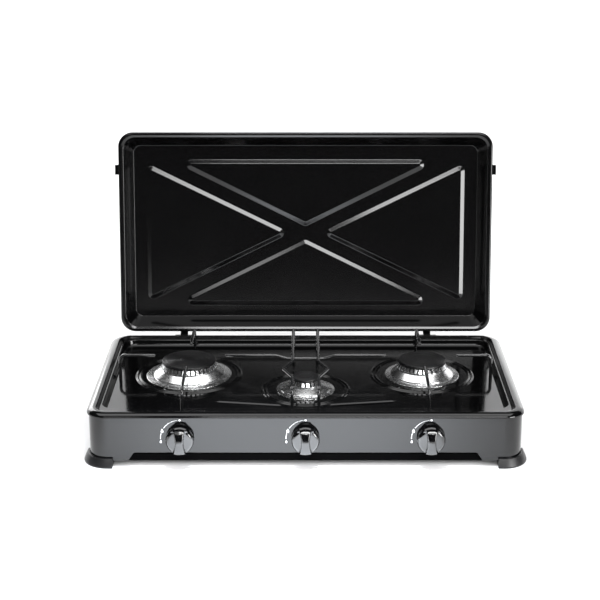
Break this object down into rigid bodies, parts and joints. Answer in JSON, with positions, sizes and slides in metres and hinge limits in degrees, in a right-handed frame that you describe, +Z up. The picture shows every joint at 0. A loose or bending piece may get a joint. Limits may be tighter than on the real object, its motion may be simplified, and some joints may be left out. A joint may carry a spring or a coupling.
{
  "type": "camp stove",
  "caption": "Table-top gas camp stove with a hinged pressed lid, graded burners, wire pan supports and push-and-turn knobs on a dark gloss front panel.",
  "frame": {"origin": "centre of the bounding box's bottom face, with the lid open: the feet stand on Z = 0", "axes": "+X to the right along the front panel, +Y from the knobs towards the lid, +Z up"},
  "size_m": [0.645, 0.4568, 0.4041],
  "materials": {
    "panel_dark": "gloss enamel",
    "gloss_black": "gloss enamel",
    "pan_black": "satin",
    "wire_black": "gloss enamel",
    "cap_enamel": "satin enamel",
    "knob_plastic": "gloss",
    "foot_plastic": "satin",
    "bright_aluminium": "polished",
    "plain_steel": "zinc plated",
    "brass": "turned",
    "dial_print": "printed mark"
  },
  "bodies": {
    "body": {"casing": "panel_dark", "top_cover": "gloss_black", "base_pan": "pan_black", "gas_rail": "plain_steel", "feed_pipe": "plain_steel", "hose_tail": "brass", "left_pan_fingers": "wire_black", "right_pan_fingers": "wire_black", "center_pan_rods": "wire_black", "cross_pan_wire": "wire_black", "hinge_pins": "plain_steel", "hinge_rivets": "plain_steel", "foot_screws": "plain_steel", "burner_screws": "plain_steel", "tap_screws": "plain_steel", "rail_bolts": "plain_steel", "hinge_bracket_left": "gloss_black", "hinge_bracket_right": "gloss_black", "foot_front_left": "foot_plastic", "foot_front_right": "foot_plastic", "foot_rear_left": "foot_plastic", "foot_rear_right": "foot_plastic", "tap_spring_left": "plain_steel", "tap_left": "brass", "jet_left": "brass", "mixing_tube_left": "plain_steel", "burner_cup_left": "bright_aluminium", "burner_dish_left": "bright_aluminium", "burner_crown_left": "bright_aluminium", "burner_cap_left": "cap_enamel", "tap_spring_center": "plain_steel", "tap_center": "brass", "jet_center": "brass", "mixing_tube_center": "plain_steel", "burner_cup_center": "bright_aluminium", "burner_dish_center": "bright_aluminium", "burner_crown_center": "bright_aluminium", "burner_cap_center": "cap_enamel", "tap_spring_right": "plain_steel", "tap_right": "brass", "jet_right": "brass", "mixing_tube_right": "plain_steel", "burner_cup_right": "bright_aluminium", "burner_dish_right": "bright_aluminium", "burner_crown_right": "bright_aluminium", "burner_cap_right": "cap_enamel"},
    "lid": {"lid_shell": "gloss_black", "lid_catches": "gloss_black", "hinge_leaf_left": "gloss_black", "hinge_leaf_right": "gloss_black"},
    "push_left": {"thrust_washer_left": "plain_steel"},
    "turn_left": {"knob_left": "knob_plastic", "spindle_left": "brass"},
    "push_center": {"thrust_washer_center": "plain_steel"},
    "turn_center": {"knob_center": "knob_plastic", "spindle_center": "brass"},
    "push_right": {"thrust_washer_right": "plain_steel"},
    "turn_right": {"knob_right": "knob_plastic", "spindle_right": "brass"}
  },
  "joints": [
    {"name": "lid_hinge", "type": "hinge", "parent": "body", "child": "lid", "pos_m": [0, 0.14086, 0.0745], "axis": [1, 0, 0], "range_deg": [0, 99.5]},
    {"name": "knob_push_left", "type": "slide", "parent": "body", "child": "push_left", "axis": [0, 1, 0], "range_m": [0, 0.003], "stiffness_N_per_m": 900, "springref_m": -0.003, "deforming": ["tap_spring_left"]},
    {"name": "knob_turn_left", "type": "hinge", "parent": "push_left", "child": "turn_left", "pos_m": [-0.18, -0.20634, 0.044], "axis": [0, -1, 0], "range_deg": [0, 95]},
    {"name": "knob_push_center", "type": "slide", "parent": "body", "child": "push_center", "axis": [0, 1, 0], "range_m": [0, 0.003], "stiffness_N_per_m": 900, "springref_m": -0.003, "deforming": ["tap_spring_center"]},
    {"name": "knob_turn_center", "type": "hinge", "parent": "push_center", "child": "turn_center", "pos_m": [0, -0.20634, 0.044], "axis": [0, -1, 0], "range_deg": [0, 95]},
    {"name": "knob_push_right", "type": "slide", "parent": "body", "child": "push_right", "axis": [0, 1, 0], "range_m": [0, 0.003], "stiffness_N_per_m": 900, "springref_m": -0.003, "deforming": ["tap_spring_right"]},
    {"name": "knob_turn_right", "type": "hinge", "parent": "push_right", "child": "turn_right", "pos_m": [0.18, -0.20634, 0.044], "axis": [0, -1, 0], "range_deg": [0, 95]}
  ]
}
